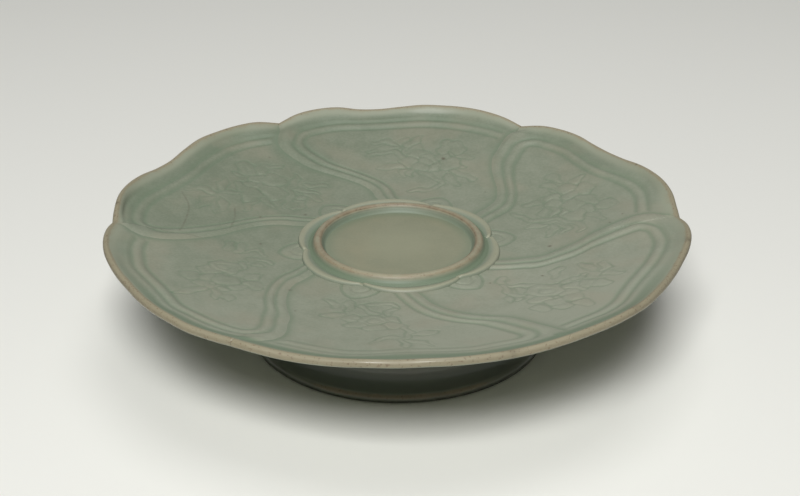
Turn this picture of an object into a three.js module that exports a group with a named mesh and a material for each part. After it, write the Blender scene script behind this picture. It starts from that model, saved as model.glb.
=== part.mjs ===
// A glazed stoneware cup stand: a shallow dish of six petals that lap over each other like a pinwheel, on a
// flaring foot ring. A low ring in the middle holds the foot of a small cup, and a collar of six little petals
// with six leaf tips stands round it. The pieces are luted face to face.
// Millimetres, +Z up, with the origin on the table under the middle of the foot.
import * as THREE from "three";

// Foot ring
const FOOT_HEIGHT = 24.4; // from the table to the underside of the dish
const FOOT_RADIUS = 47;
const FOOT_FACE_WIDTH = 5; // the flat ring that stands on the table
const FOOT_LIP_HEIGHT = 1.8;
const FOOT_LIP_BEVEL = 0.6;
const FOOT_WAIST_RADIUS = 40.4;
const FOOT_WAIST_HEIGHT = 14;
const FOOT_WALL = 5;
const FOOT_TOP_RADIUS = 43.2;
const FOOT_TOP_WALL = 7;

// Ring that holds the cup
const REST_RADIUS = 26.3;
const REST_HEIGHT = 2.5;
const REST_LIP_WIDTH = 2.6;
const REST_SPREAD = 0.5; // how much wider the ring is at its base, on each side

// Collar round the ring: six low petals, and a leaf tip behind each notch between them
const CHANNEL_WIDTH = 0.8; // at the notches, where the collar comes closest to the ring
const COLLAR_BAND_WIDTH = 1.3;
const COLLAR_HEIGHT = 1;
const COLLAR_PETAL_REACH = 2.4; // how far a petal's middle lies outside the notches
const LEAF_REACH = 8; // from a notch to the leaf's tip
const LEAF_LEDGE = 0.5; // the leaves' layer shows this far outside the petals all round
const LEAF_HEIGHT = 0.8;
const LEAF_HALF_ANGLE = 11; // degrees
const COLLAR_TURN = 8.5; // degrees from the notches of the dish to the notches of the collar

// Dish
const PETALS = 6;
const DISH_THICKNESS = 4.4;
const BED_MARGIN = 1; // flat bed outside the leaf tips
const FIELD_RADIUS = 76.3; // end of the shallow field, at the ribbon, where two petals meet
const FIELD_RISE = 6.6;
const FIELD_CURVE = 1.25; // 1 is a cone, and more than 1 a bowl
const RIBBON_WIDTH = 4.4; // raised ribbon along the rim, between field and wall
const RIBBON_RELIEF = 0.5;
const RIBBON_RISE = 1.1;
const RIBBON_EDGE = 0.2; // share of its width over which it rises on each side
const WALL_WIDTH = 3.6; // from the ribbon to the lip
const NOTCH_RISE = 9; // from the bed to the rim at such a notch
const RIM_THICKNESS = 3.4;
const BUMP_REACH = 2.7; // how far a petal's two bumps stand outside the notches
const BUMP_RISE = 2.9; // and how far above them

// The lapped edge of each petal: two round bands between three grooves
const LAP_WIDTH = 8.6; // measured round the dish
const LAP_RELIEF = 0.85;
const LAP_GROOVE = 0.25;
const LAP_STEP = 0.9; // the step down onto the next petal

const ROUND_STEPS = 64;
const FIELD_STEPS = 7;
const COLUMNS_PER_PETAL = 12;
const COLLAR_COLUMNS_PER_PETAL = 16;

const FULL_TURN = 2 * Math.PI;
const PETAL_ANGLE = FULL_TURN / PETALS;
const BED_HEIGHT = FOOT_HEIGHT + DISH_THICKNESS;
const WALL_FOOT_RADIUS = FIELD_RADIUS + RIBBON_WIDTH;
const LIP_START_RADIUS = WALL_FOOT_RADIUS + WALL_WIDTH;
const NOTCH_RADIUS = LIP_START_RADIUS + RIM_THICKNESS; // outermost point of the rim where two petals meet
const SEAT_RADIUS = REST_RADIUS - REST_LIP_WIDTH - REST_SPREAD - BED_MARGIN; // free floor for the cup's foot
const COLLAR_NOTCH_RADIUS = REST_RADIUS + REST_SPREAD + CHANNEL_WIDTH + COLLAR_BAND_WIDTH;
const BED_RADIUS = COLLAR_NOTCH_RADIUS + Math.max(LEAF_REACH, COLLAR_PETAL_REACH + LEAF_LEDGE) + BED_MARGIN;
const LAP_START_RADIUS = COLLAR_NOTCH_RADIUS + COLLAR_PETAL_REACH + LEAF_LEDGE + BED_MARGIN;
const { degToRad, lerp, smoothstep } = THREE.MathUtils;

function piece(name, geometry, hex) {
  const glaze = new THREE.MeshStandardMaterial({ color: hex, roughness: 0.28, metalness: 0 });
  const mesh = new THREE.Mesh(geometry, glaze);
  mesh.name = name;
  return mesh;
}

// Turns a profile of [radius, height] pairs about the upright axis.
function turned(profile, steps) {
  const geometry = new THREE.LatheGeometry(
    profile.map(([r, z]) => new THREE.Vector2(r, z)),
    steps,
  );
  return geometry.rotateX(Math.PI / 2);
}

// Moves every point of a turned shape: place(r, z, column, row) gives its new radius, height and angle.
function reshape(geometry, rows, place) {
  const points = geometry.getAttribute("position");
  for (let i = 0; i < points.count; i++) {
    const r = Math.hypot(points.getX(i), points.getY(i));
    const moved = place(r, points.getZ(i), Math.floor(i / rows), i % rows);
    points.setXYZ(i, moved.r * Math.cos(moved.angle), moved.r * Math.sin(moved.angle), moved.z);
  }
  return geometry;
}

// Reads a smooth curve through [position, value] pairs, with both from 0 to 1, at any position.
function curveThrough(pairs) {
  const spline = new THREE.SplineCurve(pairs.map(([at, value]) => new THREE.Vector2(at, value)));
  const samples = spline.getPoints(40 * pairs.length);
  return (at) => {
    const next = samples.findIndex((p) => p.x >= at);
    if (next < 1) return next === 0 ? samples[0].y : samples.at(-1).y;
    const [a, b] = [samples[next - 1], samples[next]];
    return lerp(a.y, b.y, (at - a.x) / (b.x - a.x));
  };
}

// The rim of one petal from its lapped notch (0) to the next one (1): a bracket with two bumps
const rimBracket = curveThrough([
  [0, 0],
  [0.08, 0.55],
  [0.2, 0.93],
  [0.31, 0.6],
  [0.4, 0.42],
  [0.5, 0.63],
  [0.66, 1],
  [0.8, 0.8],
  [0.92, 0.35],
  [1, 0],
]);

// How far round a lapped edge strays from its notch, as a share of a petal, from the bed (0) to the rim (1):
// a long S
const lapSwing = curveThrough([
  [0, -0.29],
  [0.16, -0.217],
  [0.26, -0.158],
  [0.36, -0.075],
  [0.46, -0.008],
  [0.65, 0.067],
  [0.75, 0.083],
  [0.85, 0.075],
  [0.93, 0.04],
  [1, 0],
]);

// Height across a lapped edge as a share of its relief: a groove, a wide ridge, a groove and a narrow ridge
const LAP_STATIONS = [0, 0.28, 0.6, 0.8, 1];
const lapRidges = curveThrough([
  [LAP_STATIONS[0], -LAP_GROOVE / LAP_RELIEF],
  [LAP_STATIONS[1], 1],
  [LAP_STATIONS[2], 0.3],
  [LAP_STATIONS[3], 0.75],
  [LAP_STATIONS[4], 0],
]);

function footRing() {
  const inner = FOOT_RADIUS - FOOT_FACE_WIDTH;
  const flare = FOOT_RADIUS - FOOT_WAIST_RADIUS;
  const outside = [
    [FOOT_RADIUS - FOOT_LIP_BEVEL, 0],
    [FOOT_RADIUS, FOOT_LIP_BEVEL],
    [FOOT_RADIUS, FOOT_LIP_HEIGHT],
    [FOOT_WAIST_RADIUS + 0.75 * flare, lerp(FOOT_LIP_HEIGHT, FOOT_WAIST_HEIGHT, 0.08)],
    [FOOT_WAIST_RADIUS + 0.33 * flare, lerp(FOOT_LIP_HEIGHT, FOOT_WAIST_HEIGHT, 0.42)],
    [FOOT_WAIST_RADIUS + 0.06 * flare, lerp(FOOT_LIP_HEIGHT, FOOT_WAIST_HEIGHT, 0.75)],
    [FOOT_WAIST_RADIUS, FOOT_WAIST_HEIGHT],
    [lerp(FOOT_WAIST_RADIUS, FOOT_TOP_RADIUS, 0.25), lerp(FOOT_WAIST_HEIGHT, FOOT_HEIGHT, 0.5)],
    [FOOT_TOP_RADIUS, FOOT_HEIGHT],
  ];
  const inside = [
    [FOOT_TOP_RADIUS - FOOT_TOP_WALL, FOOT_HEIGHT],
    [FOOT_WAIST_RADIUS - FOOT_WALL, FOOT_WAIST_HEIGHT],
    [inner, 0],
  ];
  return piece("foot_ring", turned([...outside, ...inside, outside[0]], ROUND_STEPS), 0x6f7a68);
}

function cupRestRing() {
  const inner = REST_RADIUS - REST_LIP_WIDTH;
  const base = BED_HEIGHT;
  const top = BED_HEIGHT + REST_HEIGHT;
  const profile = [
    [inner - REST_SPREAD, base],
    [REST_RADIUS + REST_SPREAD, base],
    [lerp(REST_RADIUS, REST_RADIUS + REST_SPREAD, 0.3), lerp(base, top, 0.35)],
    [REST_RADIUS, lerp(base, top, 0.75)],
    [REST_RADIUS - 0.2 * REST_LIP_WIDTH, lerp(base, top, 0.95)],
    [REST_RADIUS - 0.5 * REST_LIP_WIDTH, top],
    [REST_RADIUS - 0.85 * REST_LIP_WIDTH, lerp(base, top, 0.92)],
    [inner, lerp(base, top, 0.6)],
    [lerp(inner, inner - REST_SPREAD, 0.4), lerp(base, top, 0.22)],
  ];
  return piece("cup_rest_ring", turned([...profile, profile[0]], ROUND_STEPS), 0x9a9c84);
}

// A low wall of six bowed petals, with a thin leaf tip outside each notch
function petalCollar() {
  const inner = COLLAR_NOTCH_RADIUS - COLLAR_BAND_WIDTH;
  const wall = (share, rise) => [lerp(inner, COLLAR_NOTCH_RADIUS, share), BED_HEIGHT + rise * COLLAR_HEIGHT];
  const leafEdge = COLLAR_NOTCH_RADIUS + LEAF_LEDGE;
  const leafTop = BED_HEIGHT + LEAF_HEIGHT;
  const leafRows = [1, 2];
  const profile = [
    wall(0, 0),
    [leafEdge, BED_HEIGHT],
    [leafEdge, leafTop],
    [COLLAR_NOTCH_RADIUS, leafTop],
    wall(0.9, 0.85),
    wall(0.65, 1),
    wall(0.3, 0.75),
    wall(0, 0),
  ];
  const ring = turned(profile, PETALS * COLLAR_COLUMNS_PER_PETAL);
  const geometry = reshape(ring, profile.length, (r, z, column, row) => {
    const petal = Math.floor(column / COLLAR_COLUMNS_PER_PETAL);
    const share = (column % COLLAR_COLUMNS_PER_PETAL) / COLLAR_COLUMNS_PER_PETAL;
    const bow = COLLAR_PETAL_REACH * Math.sin(Math.PI * share) ** 0.7;
    const fromNotch = Math.min(share, 1 - share) * PETAL_ANGLE;
    const leaf = Math.max(0, 1 - fromNotch / degToRad(LEAF_HALF_ANGLE));
    const leafReach = leafRows.includes(row) ? (LEAF_REACH - LEAF_LEDGE) * leaf : 0;
    return { r: r + Math.max(bow, leafReach), z, angle: degToRad(COLLAR_TURN) + (petal + share) * PETAL_ANGLE };
  });
  return piece("petal_collar", geometry, 0x93a18b);
}

// The dish's profile from the middle of the top, over the rim, to the middle of the underside
function dishProfile() {
  const half = RIM_THICKNESS / 2;
  const wallRise = FIELD_RISE + RIBBON_RISE;
  const top = [
    [0, 0],
    [SEAT_RADIUS, 0],
    [LAP_START_RADIUS, 0],
  ];
  for (let step = 0; step <= FIELD_STEPS; step++) {
    const share = step / FIELD_STEPS;
    top.push([lerp(BED_RADIUS, FIELD_RADIUS, share), FIELD_RISE * share ** FIELD_CURVE]);
  }
  for (const share of [RIBBON_EDGE, 1 - RIBBON_EDGE, 1]) {
    top.push([FIELD_RADIUS + share * RIBBON_WIDTH, FIELD_RISE + share * RIBBON_RISE]);
  }
  top.push([lerp(WALL_FOOT_RADIUS, LIP_START_RADIUS, 0.6), lerp(wallRise, NOTCH_RISE, 0.4)]);
  const lip = [135, 90, 45, 0, -50].map((degrees) => [
    NOTCH_RADIUS - half + half * Math.cos(degToRad(degrees)),
    NOTCH_RISE - half + half * Math.sin(degToRad(degrees)),
  ]);
  const under = [
    [WALL_FOOT_RADIUS, wallRise - DISH_THICKNESS],
    [lerp(BED_RADIUS, FIELD_RADIUS, 0.75), FIELD_RISE * 0.75 ** FIELD_CURVE - DISH_THICKNESS],
    [lerp(FOOT_TOP_RADIUS, FIELD_RADIUS, 0.35), FIELD_RISE * 0.25 ** FIELD_CURVE - DISH_THICKNESS],
    [FOOT_TOP_RADIUS, -DISH_THICKNESS],
    [0, -DISH_THICKNESS],
  ];
  return { top, all: [...top, ...lip, ...under].map(([r, rise]) => [r, BED_HEIGHT + rise]) };
}

// How far round a column of the dish lies from its petal's lapped edge
function columnTurn(station, r) {
  const reach = Math.max(r, LAP_START_RADIUS);
  if (station < LAP_STATIONS.length) return (LAP_STATIONS[station] * LAP_WIDTH) / reach;
  const share = (station + 1 - LAP_STATIONS.length) / COLUMNS_PER_PETAL;
  return lerp(LAP_WIDTH / reach, PETAL_ANGLE - LAP_STEP / reach, share);
}

// Height of a petal's border over its field: ridges across the lapped edge, and the ribbon along the rim
function border(r, turn, isLastColumn) {
  const fadeIn = smoothstep(r, LAP_START_RADIUS, BED_RADIUS);
  const fadeOut = 1 - smoothstep(r, WALL_FOOT_RADIUS, LIP_START_RADIUS);
  const lap = isLastColumn ? 0 : lapRidges(Math.min(1, (turn * r) / LAP_WIDTH)) * LAP_RELIEF * fadeIn * fadeOut;
  const isRibbon = r > FIELD_RADIUS && r < WALL_FOOT_RADIUS - 0.5 * RIBBON_EDGE * RIBBON_WIDTH;
  return Math.max(lap, isRibbon ? RIBBON_RELIEF : 0);
}

// The petals follow each other clockwise, seen from above, and each starts at its lapped edge.
function dish() {
  const columns = LAP_STATIONS.length + COLUMNS_PER_PETAL;
  const { top, all } = dishProfile();
  const geometry = reshape(turned(all, PETALS * columns), all.length, (r, z, column, row) => {
    const petal = Math.floor(column / columns);
    const station = column % columns;
    const turn = columnTurn(station, r);
    const bracket = rimBracket(turn / PETAL_ANGLE);
    const bumpOut = BUMP_REACH * bracket * smoothstep(r, lerp(BED_RADIUS, FIELD_RADIUS, 0.5), FIELD_RADIUS);
    const bumpUp = BUMP_RISE * bracket * smoothstep(r, FIELD_RADIUS, LIP_START_RADIUS);
    const isTop = row < top.length;
    const swing = isTop ? lapSwing((r - BED_RADIUS) / (NOTCH_RADIUS - BED_RADIUS)) * PETAL_ANGLE : 0;
    const raised = isTop ? border(r, turn, station === columns - 1) : 0;
    return { r: r + bumpOut, z: z + bumpUp + raised, angle: swing - petal * PETAL_ANGLE - turn };
  });
  return piece("dish", geometry, 0x8fa08c);
}

const cupStand = new THREE.Group();
cupStand.add(footRing(), dish(), petalCollar(), cupRestRing());

export default cupStand;
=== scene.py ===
import math
from types import SimpleNamespace

import bmesh
import bpy
import numpy as np
from mathutils import Matrix, Vector


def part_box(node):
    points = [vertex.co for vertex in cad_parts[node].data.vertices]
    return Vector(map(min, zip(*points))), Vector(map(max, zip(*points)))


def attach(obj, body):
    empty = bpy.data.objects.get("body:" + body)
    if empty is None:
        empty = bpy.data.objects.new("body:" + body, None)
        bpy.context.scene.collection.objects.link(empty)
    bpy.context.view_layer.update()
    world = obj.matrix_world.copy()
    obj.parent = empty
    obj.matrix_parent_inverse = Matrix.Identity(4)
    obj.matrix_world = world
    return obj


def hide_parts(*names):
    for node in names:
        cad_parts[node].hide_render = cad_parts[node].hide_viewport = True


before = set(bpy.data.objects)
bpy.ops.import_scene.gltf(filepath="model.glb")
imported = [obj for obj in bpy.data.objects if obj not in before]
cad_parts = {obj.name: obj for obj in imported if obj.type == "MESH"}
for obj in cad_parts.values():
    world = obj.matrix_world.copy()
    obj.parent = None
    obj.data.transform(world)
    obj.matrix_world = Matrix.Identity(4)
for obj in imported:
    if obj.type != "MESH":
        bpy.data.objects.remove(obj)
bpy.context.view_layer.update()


# Foot ring. The real one is grey stoneware clay, thrown as a ring that flares to a small square lip, and
# luted under the dish with slip while both were leather-hard. It was glazed with the dish; only the face it
# stood on in the kiln is bare.
MM = 0.001  # sizes are in millimetres, and the scene in metres
FOOT_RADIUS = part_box("foot_ring")[1].x / MM
FOOT_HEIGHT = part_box("foot_ring")[1].z / MM
FOOT_LIP = 2.0  # height of the square lip
LIP_LIT_FRONT = 32, 44  # distances in front of the middle between which the lip's thin, pale edge is painted fully in, as painted light on the lit front
FOOT_STEPS = 256
WELD = 1e-4  # points closer together than this are one point


def smooth_through(at, places, values):
    """A smooth curve through a few (place, value) pairs, read at any place (cubic Hermite)."""
    places, values = np.asarray(places, float), np.asarray(values, float)
    slopes = np.gradient(values, places)
    i = np.clip(np.searchsorted(places, at) - 1, 0, len(places) - 2)
    gap = places[i + 1] - places[i]
    t = np.clip((at - places[i]) / gap, 0, 1)
    start = values[i] * (1 + 2 * t) * (1 - t) ** 2 + gap * slopes[i] * t * (1 - t) ** 2
    return start + values[i + 1] * t * t * (3 - 2 * t) + gap * slopes[i + 1] * t * t * (t - 1)


def line_through(points, spacing):
    """A smooth line through a few points, with a point every `spacing` millimetres."""
    points = np.array(points, float)
    run = np.append(0, np.cumsum(np.linalg.norm(np.diff(points, axis=0), axis=1)))
    at = np.linspace(0, run[-1], max(2, round(run[-1] / spacing) + 1))
    return np.stack([smooth_through(at, run, column) for column in points.T], axis=1)


def share_of(value, low, high):
    """How far a value is on its way from low to high, from 0 to 1."""
    return np.clip((value - low) / (high - low), 0, 1)


def smooth_step(value, low, high):
    t = share_of(value, low, high)
    return t * t * (3 - 2 * t)


def bump_at(value, middle, width):
    return np.exp(-(((value - middle) / width) ** 2))


def with_next(items):
    """Each item with the one after it, and the last with the first."""
    return zip(items, items[1:] + items[:1])


def turned(name, profile, steps, angle=math.tau):
    """Clay turned on the wheel: a closed (radius, height) profile, swept about the upright axis."""
    bm = bmesh.new()
    loop = [bm.verts.new((r, 0, z)) for r, z in profile]
    if angle == math.tau:
        for a, b in with_next(loop):
            bm.edges.new((a, b))
    else:
        section = bm.faces.new(loop)
        bmesh.ops.triangulate(bm, faces=[section], ngon_method="BEAUTY")
    bmesh.ops.spin(
        bm,
        geom=bm.verts[:] + bm.edges[:] + bm.faces[:],
        cent=(0, 0, 0),
        axis=(0, 0, 1),
        angle=angle,
        steps=steps,
        use_merge=angle == math.tau,
    )
    bmesh.ops.remove_doubles(bm, verts=bm.verts[:], dist=WELD)
    bmesh.ops.recalc_face_normals(bm, faces=bm.faces[:])
    mesh = bpy.data.meshes.new(name)
    bm.to_mesh(mesh)
    bm.free()
    return mesh


def read_points(mesh):
    flat = np.empty(3 * len(mesh.vertices))
    mesh.vertices.foreach_get("co", flat)
    return flat.reshape(-1, 3)


def paint(mesh, name, values):
    """How the glaze lies at each point, and the painted light and shade there: a number per vertex that the
    glaze's material reads.
    """
    layer = mesh.attributes.new(name, "FLOAT", "POINT")
    layer.data.foreach_set("value", np.clip(values, 0, 1).astype(np.float32))


def set_down(name, mesh, glaze):
    """Turns a mesh from millimetres to metres, smooths its shading and puts it in the scene."""
    mesh.transform(Matrix.Scale(MM, 4))
    mesh.shade_smooth()
    mesh.materials.append(glaze)
    piece = bpy.data.objects.new(name, mesh)
    bpy.context.scene.collection.objects.link(piece)
    return piece


def colour(hex_code):
    """An sRGB hex value as the linear colour that a shader takes."""
    parts = [int(hex_code[i : i + 2], 16) / 255 for i in (1, 3, 5)]
    return (*(c / 12.92 if c <= 0.04045 else ((c + 0.055) / 1.055) ** 2.4 for c in parts), 1)


def add(tree, kind, inputs, **settings):
    """Adds a shader node with its settings. An input is a value or the output that feeds it."""
    node = tree.nodes.new("ShaderNode" + kind)
    for key, value in settings.items():
        setattr(node, key, value)
    for key, value in inputs.items():
        if isinstance(value, bpy.types.NodeSocket):
            tree.links.new(value, node.inputs[key])
        else:
            node.inputs[key].default_value = value
    return node


# Celadon glaze: a glassy grey-green coat half a millimetre deep, coloured by a little iron and fired in a
# smoky kiln. It looks bluer and darker where it pools, pales over ridges, and lets buff clay with brown
# specks show where it ran off an edge. Its gloss is soft, because the glass is full of fine bubbles.
GLAZE_CLOUDS = 46  # sizes of its patches and grain in millimetres
GLAZE_MOTTLE = 5
GLAZE_BUBBLES = 0.9
GLAZE_BLUSH = 17
EDGE_SPECKS = 0.7
STAIN_GRAIN = 3 * EDGE_SPECKS
ORANGE_PEEL, PEEL_DEPTH, PEEL_STRENGTH = 2.4, 0.03, 0.2
CLOUD_SHIFT, MOTTLE_SHIFT, BUBBLE_SHIFT = 0.12, 0.1, 0.1  # how far each moves the tone from cool to warm
BLUSH_SHARE = 0.34
SPECK_SHARE = 0.6
BARE_ROUGHER = 0.12  # how much rougher worn glaze is than whole glaze
GLOSS_SHARE = 0.625  # how much of its roughness worn glaze loses where it stayed glossy
SPECK_BROWN, STAIN_BROWN = "#66503c", "#4c4233"
MIX_FACTOR, MIX_A, MIX_B, MIX_COLOUR = 0, 6, 7, 2  # sockets of a colour Mix node


def celadon(name, roughness, cool, warm, blush, pool_and_shade_tone, ridge, buff):
    material = bpy.data.materials.new(name)
    material.use_nodes = True
    tree = material.node_tree
    tree.nodes.clear()
    place = add(tree, "TexCoord", {}).outputs["Object"]

    def noise(size, detail, **more):
        inputs = {"Vector": place, "Scale": 1 / (size * MM), "Detail": detail}
        return add(tree, "TexNoise", inputs, **more).outputs["Fac"]

    def spread(value, low, high, to_low=0.0, to_high=1.0):
        inputs = {"Value": value, "From Min": low, "From Max": high, "To Min": to_low, "To Max": to_high}
        return add(tree, "MapRange", inputs, interpolation_type="SMOOTHSTEP").outputs["Result"]

    def blend(factor, a, b):
        inputs = {MIX_FACTOR: factor, MIX_A: a, MIX_B: b}
        return add(tree, "Mix", inputs, data_type="RGBA").outputs[MIX_COLOUR]

    def sum_of(a, b):
        return add(tree, "Math", {0: a, 1: b}, operation="ADD").outputs[0]

    def times(a, b):
        return add(tree, "Math", {0: a, 1: b}, operation="MULTIPLY").outputs[0]

    def painted(attribute):
        return add(tree, "Attribute", {}, attribute_name=attribute).outputs["Fac"]

    thin_and_painted_light = painted("thin_and_painted_light")
    clouds = spread(noise(GLAZE_CLOUDS, 2), 0.35, 0.65, -CLOUD_SHIFT, CLOUD_SHIFT)
    mottle = spread(noise(GLAZE_MOTTLE, 3), 0.3, 0.7, -MOTTLE_SHIFT, MOTTLE_SHIFT)
    bubbles = spread(noise(GLAZE_BUBBLES, 2), 0.3, 0.7, -BUBBLE_SHIFT, BUBBLE_SHIFT)
    # the painted light and shade across the piece, added to the glaze's random clouds, mottle and bubbles
    tone_and_painted_light = sum_of(sum_of(painted("tone_and_painted_light"), clouds), sum_of(mottle, bubbles))
    toned_and_lit = blend(tone_and_painted_light, colour(cool), colour(warm))
    body = blend(spread(noise(GLAZE_BLUSH, 2), 0.45, 0.7, 0, BLUSH_SHARE), toned_and_lit, colour(blush))
    ridged = blend(spread(thin_and_painted_light, 0.0, 0.5), body, colour(ridge))
    # the pooled tone, which also serves as painted shade on the inner wall at the dish's front
    deep = blend(painted("pool_and_painted_shade"), ridged, colour(pool_and_shade_tone))
    # buff clay shows where the glaze is thin and worn, and on the front of the foot's lip also as painted
    # light
    worn = spread(sum_of(thin_and_painted_light, mottle), 0.45, 1.0)
    edge = blend(worn, deep, colour(buff))
    specks = spread(noise(EDGE_SPECKS, 2), 0.6, 0.68)
    specked = blend(times(times(specks, worn), SPECK_SHARE), edge, colour(SPECK_BROWN))
    stain = times(painted("stain"), spread(noise(STAIN_GRAIN, 2), 0.3, 0.7, 0.45, 1.0))
    stained = blend(stain, specked, colour(STAIN_BROWN))
    rougher = spread(painted("gloss"), 0, 1, BARE_ROUGHER, BARE_ROUGHER - GLOSS_SHARE * roughness)
    peel = {"Height": noise(ORANGE_PEEL, 1), "Strength": PEEL_STRENGTH, "Distance": PEEL_DEPTH * MM}
    glass = {
        "Base Color": stained,
        "Roughness": sum_of(roughness, times(worn, rougher)),
        "Normal": add(tree, "Bump", peel).outputs["Normal"],
        "IOR": 1.5,
    }
    shader = add(tree, "BsdfPrincipled", glass)
    add(tree, "OutputMaterial", {"Surface": shader.outputs["BSDF"]})
    return material


foot_outside = line_through(
    [
        (FOOT_RADIUS - 0.1, FOOT_LIP - 0.2),
        (FOOT_RADIUS - 0.7, FOOT_LIP + 0.15),
        (FOOT_RADIUS - 1.7, FOOT_LIP + 0.9),
        (43.2, 5.0),
        (42.1, 7.0),
        (41.7, 9.0),
        (41.5, 11.0),
        (41.0, 13.6),
        (40.4, 16.6),
        (40.5, 19.2),
        (42.4, 22.2),
        (45.2, FOOT_HEIGHT - 0.1),
    ],
    0.6,
)
foot_lip = [
    (FOOT_RADIUS - 0.9, 0),
    (FOOT_RADIUS - 0.25, 0.25),
    (FOOT_RADIUS, 0.8),
    (FOOT_RADIUS, FOOT_LIP - 0.5),
]
foot_inside = line_through([(36.2, FOOT_HEIGHT), (35.4, 14), (37.6, 6), (41.4, 0.7)], 0.8)
foot_profile = [*foot_lip, *foot_outside, (43.2, FOOT_HEIGHT), *foot_inside, (42.2, 0)]
foot_mesh = turned("foot_ring_glazed", foot_profile, FOOT_STEPS)
foot_points = read_points(foot_mesh)
foot_r = np.hypot(foot_points[:, 0], foot_points[:, 1])
foot_z = foot_points[:, 2]
on_lip_edge = bump_at(foot_z, FOOT_LIP, 0.7) * (foot_r > FOOT_RADIUS - 1.2)
# painted light: the lip's pale edge shows fully only at the lit front, and at three tenths on the shaded
# sides and back
on_lip_edge *= 0.3 + 0.7 * smooth_step(-foot_points[:, 1], *LIP_LIT_FRONT)
stood_on = foot_z < 0.1
above_lip = 0.7 * bump_at(foot_z, 4.5, 2) * (foot_r > 40)
paint(foot_mesh, "thin_and_painted_light", np.maximum(on_lip_edge, stood_on))
paint(foot_mesh, "pool_and_painted_shade", above_lip)
paint(foot_mesh, "tone_and_painted_light", np.full(len(foot_points), 0.5))
# painted shade: the foot's tones are painted darker than the dish's glaze, for the shade it stands in under
# the dish
foot_shaded_tones = "#5c6255", "#626557", "#645f52", "#4a5347", "#7d7f71", "#8d826d"
foot_glaze = celadon("celadon glaze on the foot with painted shade", 0.12, *foot_shaded_tones)
foot = set_down("foot_ring_glazed", foot_mesh, foot_glaze)
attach(foot, "root")
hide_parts("foot_ring")


# Dish. The real one is stoneware pressed over a mould into six petals, each lapping over the next like a
# pinwheel, with a ribbon and a flat band trimmed along its edge and a sprig of flowers in low relief. Each
# petal is a wedge of the whole thickness, so that its carving is real, and the seams lie under the laps.
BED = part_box("cup_rest_ring")[0].z / MM
THICKNESS = BED - FOOT_HEIGHT
PETAL_ANGLE = 60.0
BED_RADIUS = 37.9
FIELD_RADIUS = 76.3
FIELD_RISE = 7.1
FIELD_CURVE = 1.45
WALL_FOOT_RADIUS, WALL_FOOT_RISE = 80.7, 8.0
WALL_CURVE = 1.6  # the wall steepens towards the rim
NOTCH_RADIUS, NOTCH_RISE = 87.7, 9.0
RIM = BED + NOTCH_RISE
CREST = 1.25  # the rim's round edge
CREST_RADIUS = NOTCH_RADIUS - CREST
SEAT_EDGE = 25.0
BED_DIP = 0.03  # the bed sank a hair in the kiln
UNDER_SEAM = 38.4
SEAM_STEPS = np.linspace(0, 1, 32)[1:-1]  # points up the inner seam, close enough for evenly cut faces
BAND_WIDTH = 5.2  # the flat band along the lapped edge
BAND_HEIGHT = 0.4
BAND_PLACES = [0, 0.8, 1.6, 2.5, 3.4, 4.5, 5.5, 7, 30]  # inwards from the lapped edge
BAND_SECTION = BAND_HEIGHT * np.array([-0.6, 0, 0.5, 0.9, 1, 0.8, 0.5, 0.3, 0])
NARROWEST = 0.78  # the band's and the ribbon's share of their width close to the collar
RIBBON_RADIUS = 77.4  # the ribbon's middle on a plain dish
RIBBON_HALF = 1.9  # from the ribbon's middle to the groove at each side
RIBBON_SIDE_HALF = 2.2  # the same where it runs along the lapped edge
RIBBON_SIDE_END = 77.0  # how far out it follows that edge
RIBBON_CORNER = 5.0
RIBBON_HEIGHT = 0.23
GROOVE_WIDTH, GROOVE_DEPTH = 0.8, 0.19
CARVING_START = 29, 33  # radii between which the band, ribbon and sprig rise out of the plain bed
LAP_START = 26, 29.5  # radii between which the petals begin to lap
LAP_UNDER = 1.3  # how far a petal runs on under the next one's band
FURROW_DEPTH, FURROW_WIDTH = 0.7, 3  # the furrow under each lap, on the dish's lower side
ROW_SPACING = 0.3
COLUMNS = 290

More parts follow.
